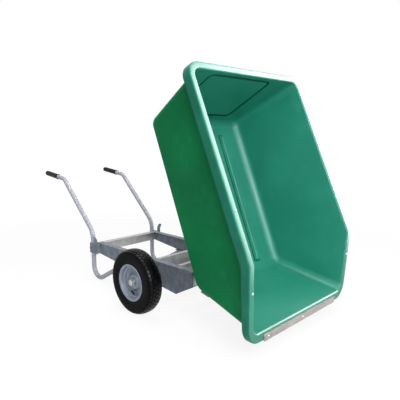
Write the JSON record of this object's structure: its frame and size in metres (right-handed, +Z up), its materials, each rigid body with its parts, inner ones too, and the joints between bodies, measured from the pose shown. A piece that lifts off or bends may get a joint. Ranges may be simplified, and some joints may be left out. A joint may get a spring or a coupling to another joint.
{
  "type": "tipping wheelbarrow",
  "caption": "Tipping wheelbarrow with a moulded tub hinged on a galvanised angle chassis, two pneumatic wheels and bent tube handles that form the legs.",
  "frame": {"origin": "on the ground under the middle of the bounding box, with the tub tipped out", "axes": "+X forward, the way the tub tips; +Y to the left of someone at the handles; +Z up"},
  "size_m": [2.3466, 1.026, 1.4456],
  "materials": {
    "galvanised_steel": "hot-dip galvanised, mottled satin",
    "zinc_steel": "bright zinc plated",
    "strip_steel": "worn satin",
    "tub_plastic": "green rotomoulded, soft sheen",
    "tyre_rubber": "black, ribbed tread",
    "grip_rubber": "black, matt",
    "rim_paint": "silver grey paint"
  },
  "bodies": {
    "chassis": {"rail_left": "galvanised_steel", "axle_plate_left": "galvanised_steel", "axle_cap_left": "zinc_steel", "handle_left": "galvanised_steel", "grip_left": "grip_rubber", "clamp_plate_left": "galvanised_steel", "clamp_spacer_left": "galvanised_steel", "rail_bolt_left_1": "zinc_steel", "rail_bolt_left_2": "zinc_steel", "handle_bolt_left_1": "zinc_steel", "stay_pad_left": "galvanised_steel", "hinge_bracket_left": "galvanised_steel", "hinge_pin_left": "zinc_steel", "rail_right": "galvanised_steel", "axle_plate_right": "galvanised_steel", "axle_cap_right": "zinc_steel", "handle_right": "galvanised_steel", "grip_right": "grip_rubber", "clamp_plate_right": "galvanised_steel", "clamp_spacer_right": "galvanised_steel", "rail_bolt_right_1": "zinc_steel", "rail_bolt_right_2": "zinc_steel", "handle_bolt_right_1": "zinc_steel", "stay_pad_right": "galvanised_steel", "hinge_bracket_right": "galvanised_steel", "hinge_pin_right": "zinc_steel", "rear_member": "galvanised_steel", "middle_member_rear": "galvanised_steel", "middle_member_front": "galvanised_steel", "front_member": "galvanised_steel", "axle": "zinc_steel", "bracket_bolt_1": "zinc_steel", "bracket_bolt_2": "zinc_steel", "bracket_bolt_3": "zinc_steel", "bracket_bolt_4": "zinc_steel"},
    "tub": {"tub_shell": "tub_plastic", "hinge_clevis_left": "galvanised_steel", "hinge_clevis_right": "galvanised_steel", "tub_cross_bar": "galvanised_steel", "lip_strip": "strip_steel", "clevis_bolt_1": "zinc_steel", "clevis_bolt_2": "zinc_steel", "clevis_bolt_3": "zinc_steel", "clevis_bolt_4": "zinc_steel", "cross_bar_bolt_1": "zinc_steel", "cross_bar_bolt_2": "zinc_steel", "lip_strip_bolt_1": "zinc_steel", "lip_strip_bolt_2": "zinc_steel", "lip_strip_bolt_3": "zinc_steel"},
    "wheel_left": {"tyre_left": "tyre_rubber", "rim_left": "rim_paint", "hub_left": "rim_paint", "valve_left": "grip_rubber"},
    "wheel_right": {"tyre_right": "tyre_rubber", "rim_right": "rim_paint", "hub_right": "rim_paint", "valve_right": "grip_rubber"}
  },
  "joints": [
    {"name": "tub_tip", "type": "hinge", "parent": "chassis", "child": "tub", "pos_m": [0.64314, 0, 0.22], "axis": [0, 1, 0], "range_deg": [-67.8, 0]},
    {"name": "wheel_left_spin", "type": "hinge", "parent": "chassis", "child": "wheel_left", "pos_m": [0.27893, 0.463, 0.2], "axis": [0, 1, 0], "continuous": true},
    {"name": "wheel_right_spin", "type": "hinge", "parent": "chassis", "child": "wheel_right", "pos_m": [0.27893, -0.463, 0.2], "axis": [0, 1, 0], "continuous": true}
  ]
}
